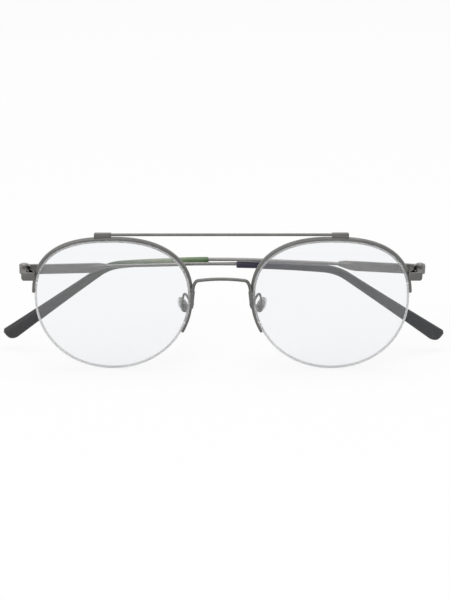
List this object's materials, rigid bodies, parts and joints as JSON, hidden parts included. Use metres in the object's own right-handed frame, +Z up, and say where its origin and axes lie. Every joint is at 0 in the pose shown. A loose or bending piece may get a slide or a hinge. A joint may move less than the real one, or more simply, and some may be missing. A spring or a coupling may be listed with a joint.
{
  "type": "half-rim eyeglasses with a double bridge",
  "caption": "Round half-rim eyeglasses with clear lenses, a straight upper bar, a wire bridge, clear nose pads and springy temples, folded.",
  "frame": {"origin": "midway between the two lenses, at the height of the lens middles and the depth of the front of the lens surface", "axes": "X from side to side with the picture's left at -X, the front looks towards -Y, +Y goes back to the wearer, +Z up"},
  "size_m": [0.1432, 0.0245, 0.0445],
  "materials": {
    "gunmetal": "satin",
    "blade_metal": "satin",
    "bare_metal": "satin",
    "screw_steel": "polished",
    "nylon": "clear",
    "clear_lens": "clear, polished",
    "clear_pad": "clear, soft",
    "pad_core": "matt",
    "sleeve_navy": "satin, navy at the front end",
    "sleeve_green": "satin, green at the front end"
  },
  "bodies": {
    "front": {"rim_left": "gunmetal", "rim_right": "gunmetal", "rim_liner_left": "nylon", "rim_liner_right": "nylon", "nylon_cord_left": "nylon", "nylon_cord_right": "nylon", "lens_left": "clear_lens", "lens_right": "clear_lens", "top_bar": "gunmetal", "bar_block_left": "gunmetal", "bar_block_right": "gunmetal", "bridge": "gunmetal", "bridge_ferrule_left": "gunmetal", "bridge_ferrule_right": "gunmetal", "pad_arm_left": "bare_metal", "pad_arm_right": "bare_metal", "pad_box_left": "bare_metal", "pad_box_right": "bare_metal", "pad_screw_left": "screw_steel", "pad_screw_right": "screw_steel", "endpiece_left": "gunmetal", "endpiece_right": "gunmetal", "front_hinge_left": "blade_metal", "front_hinge_right": "blade_metal", "hinge_screw_left": "screw_steel", "hinge_screw_right": "screw_steel"},
    "temple_left": {"temple_blade_left": "blade_metal", "temple_hinge_left": "blade_metal", "temple_wire_left": "bare_metal", "temple_tip_left": "sleeve_navy"},
    "pad_left": {"pad_core_left": "pad_core", "nose_pad_left": "clear_pad"},
    "temple_right": {"temple_blade_right": "blade_metal", "temple_hinge_right": "blade_metal", "temple_wire_right": "bare_metal", "temple_tip_right": "sleeve_green"},
    "pad_right": {"pad_core_right": "pad_core", "nose_pad_right": "clear_pad"}
  },
  "joints": [
    {"name": "fold_left", "type": "hinge", "parent": "front", "child": "temple_left", "pos_m": [-0.06295, 0.0092, 0.0098], "axis": [0, 0, 1], "range_deg": [0, 85.7], "deforming": ["temple_wire_right", "temple_tip_right"]},
    {"name": "fold_right", "type": "hinge", "parent": "front", "child": "temple_right", "pos_m": [0.06295, 0.0092, 0.0098], "axis": [0, 0, -1], "range_deg": [0, 85]},
    {"name": "pad_rock_left", "type": "hinge", "parent": "front", "child": "pad_left", "pos_m": [-0.01185, 0.00897, -0.0028], "axis": [-0.6428, 0.766, 0], "range_deg": [-8, 8]},
    {"name": "pad_rock_right", "type": "hinge", "parent": "front", "child": "pad_right", "pos_m": [0.01185, 0.00897, -0.0028], "axis": [0.6428, 0.766, 0], "range_deg": [-8, 8]}
  ]
}
